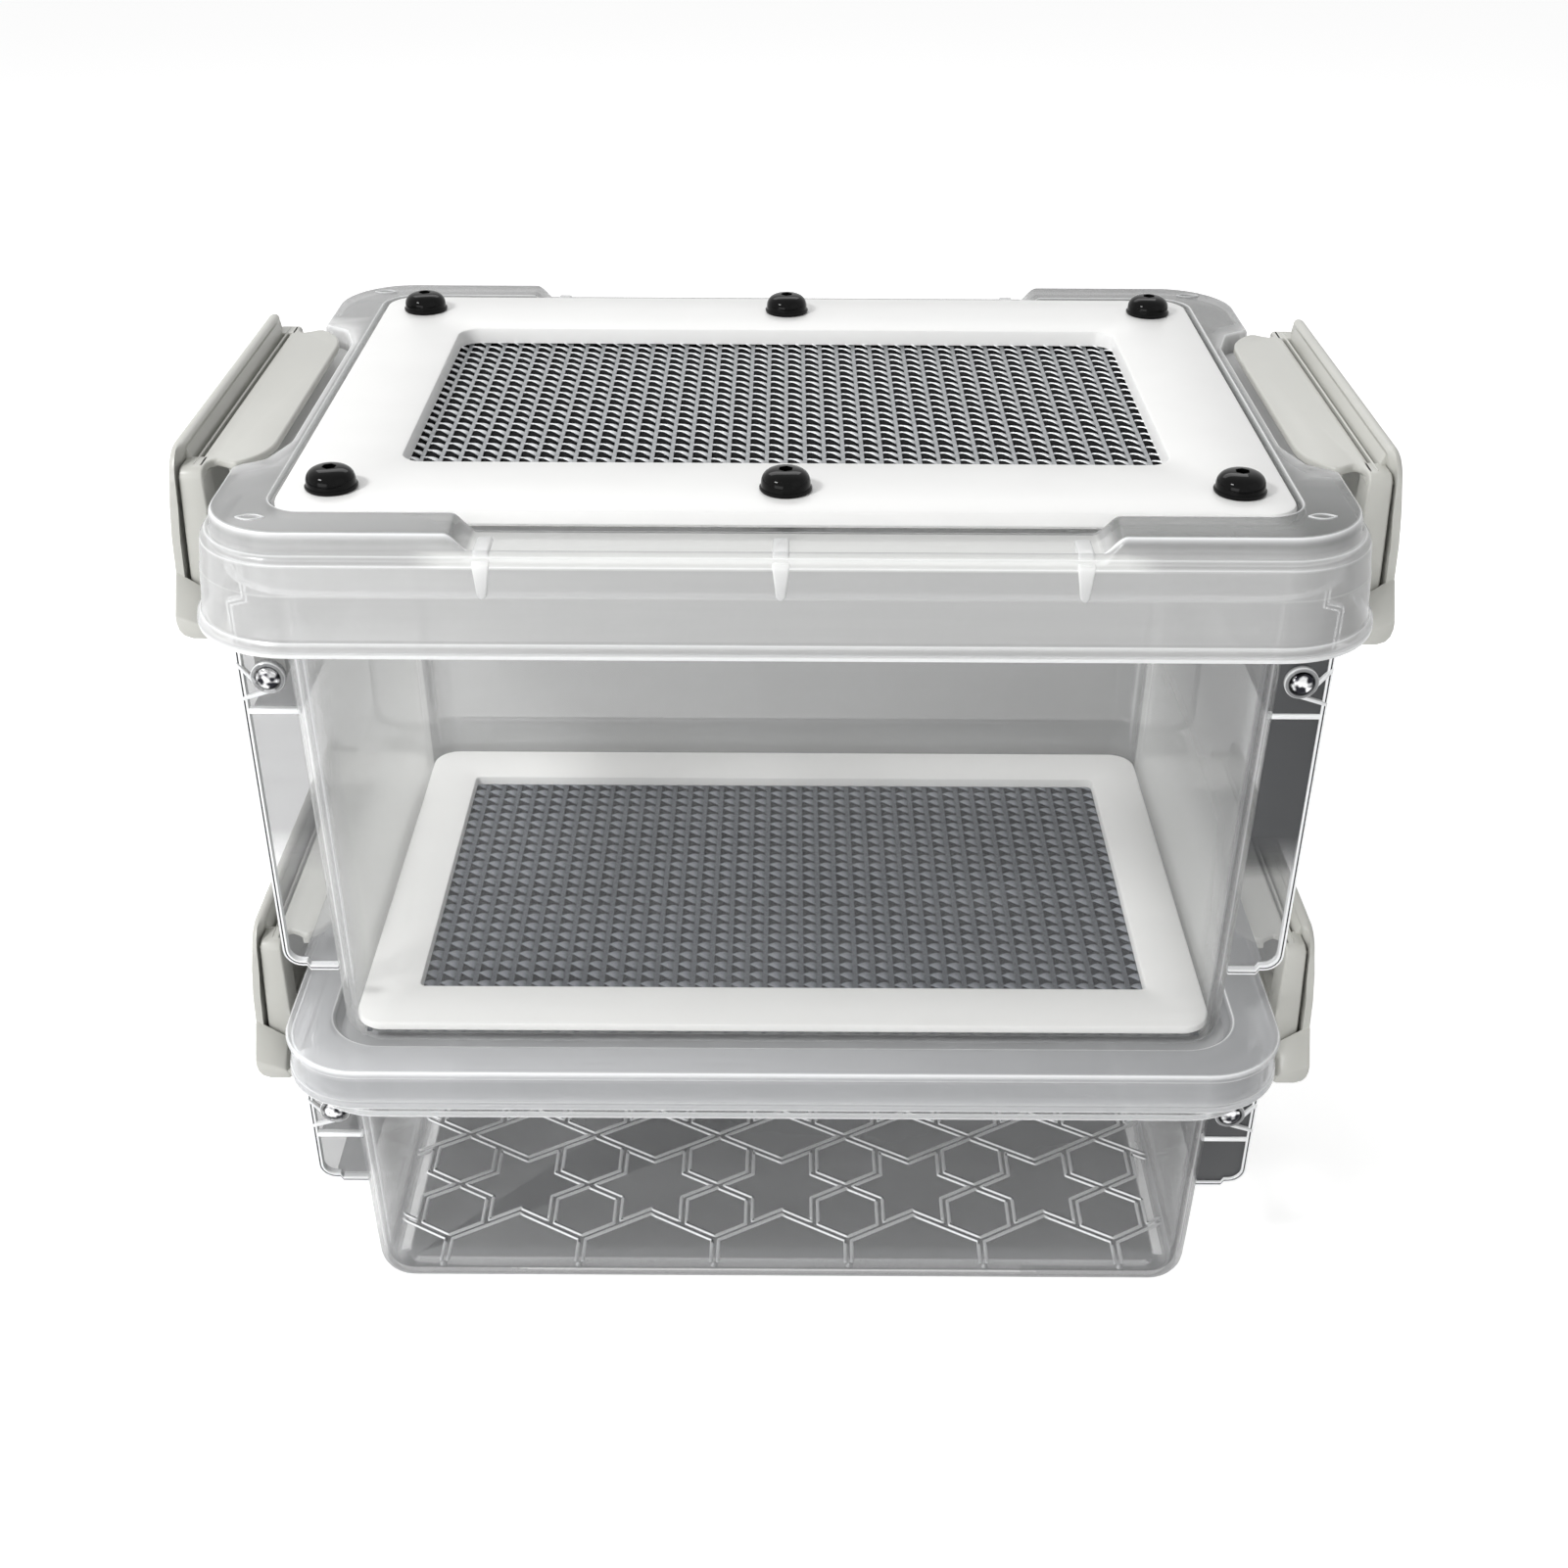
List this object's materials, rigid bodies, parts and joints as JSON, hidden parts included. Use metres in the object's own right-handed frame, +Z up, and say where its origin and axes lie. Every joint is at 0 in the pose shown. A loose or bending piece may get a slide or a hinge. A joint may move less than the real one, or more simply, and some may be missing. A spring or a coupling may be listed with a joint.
{
  "type": "mealworm breeding box",
  "caption": "Clear stacked breeding box: a screened-floor bin with a screened lid over a catch tray, held by side latches.",
  "frame": {"origin": "on the ground, under the middle of the lower box", "axes": "+X to the right latch, -Y to the front long side, +Z up"},
  "size_m": [0.303, 0.203, 0.2553],
  "materials": {
    "clear_plastic": "clear moulded plastic, lightly frosted",
    "latch_plastic": "satin warm grey moulded plastic",
    "white_plastic": "smooth white sheet",
    "lid_wire": "woven bright wire",
    "floor_wire": "woven dark grey wire",
    "black_steel": "glossy black coated steel",
    "bright_steel": "bright plated steel"
  },
  "bodies": {
    "base": {"lower_box": "clear_plastic", "lower_pin_left_front": "bright_steel", "lower_pin_left_back": "bright_steel", "lower_pin_right_front": "bright_steel", "lower_pin_right_back": "bright_steel"},
    "lower_lid": {"lower_lid": "clear_plastic"},
    "lower_latch_left": {"lower_latch_left": "latch_plastic"},
    "lower_latch_right": {"lower_latch_right": "latch_plastic"},
    "upper_box": {"upper_box": "clear_plastic", "floor_mesh": "floor_wire", "floor_frame": "white_plastic", "upper_pin_left_front": "bright_steel", "upper_pin_left_back": "bright_steel", "upper_pin_right_front": "bright_steel", "upper_pin_right_back": "bright_steel"},
    "upper_lid": {"upper_lid": "clear_plastic", "lid_panel": "white_plastic", "lid_mesh": "lid_wire", "lid_screw_1": "black_steel", "lid_screw_2": "black_steel", "lid_screw_3": "black_steel", "lid_screw_4": "black_steel", "lid_screw_5": "black_steel", "lid_screw_6": "black_steel", "lid_nut_1": "bright_steel", "lid_nut_2": "bright_steel", "lid_nut_3": "bright_steel", "lid_nut_4": "bright_steel", "lid_nut_5": "bright_steel", "lid_nut_6": "bright_steel"},
    "upper_latch_left": {"upper_latch_left": "latch_plastic"},
    "upper_latch_right": {"upper_latch_right": "latch_plastic"}
  },
  "joints": [
    {"name": "lower_lid_lift", "type": "slide", "parent": "base", "child": "lower_lid", "axis": [0, 0, 1], "range_m": [0, 0.0219]},
    {"name": "lower_latch_left_turn", "type": "hinge", "parent": "base", "child": "lower_latch_left", "pos_m": [-0.129, 0, 0.0595], "axis": [0, -1, 0], "range_deg": [0, 105]},
    {"name": "lower_latch_right_turn", "type": "hinge", "parent": "base", "child": "lower_latch_right", "pos_m": [0.129, 0, 0.0595], "axis": [0, 1, 0], "range_deg": [0, 105]},
    {"name": "upper_box_lift", "type": "slide", "parent": "lower_lid", "child": "upper_box", "axis": [0, 0, 1], "range_m": [0, 0.03]},
    {"name": "upper_lid_lift", "type": "slide", "parent": "upper_box", "child": "upper_lid", "axis": [0, 0, 1], "range_m": [0, 0.0219]},
    {"name": "upper_latch_left_turn", "type": "hinge", "parent": "upper_box", "child": "upper_latch_left", "pos_m": [-0.129, 0, 0.2], "axis": [0, -1, 0], "range_deg": [0, 105]},
    {"name": "upper_latch_right_turn", "type": "hinge", "parent": "upper_box", "child": "upper_latch_right", "pos_m": [0.129, 0, 0.2], "axis": [0, 1, 0], "range_deg": [0, 105]}
  ],
  "couplings": [
    {"joint": "lower_latch_left_turn", "follows": "lower_lid_lift", "rad_per_m": 83.333},
    {"joint": "lower_latch_right_turn", "follows": "lower_lid_lift", "rad_per_m": 83.333},
    {"joint": "upper_latch_left_turn", "follows": "upper_lid_lift", "rad_per_m": 83.333},
    {"joint": "upper_latch_right_turn", "follows": "upper_lid_lift", "rad_per_m": 83.333}
  ]
}
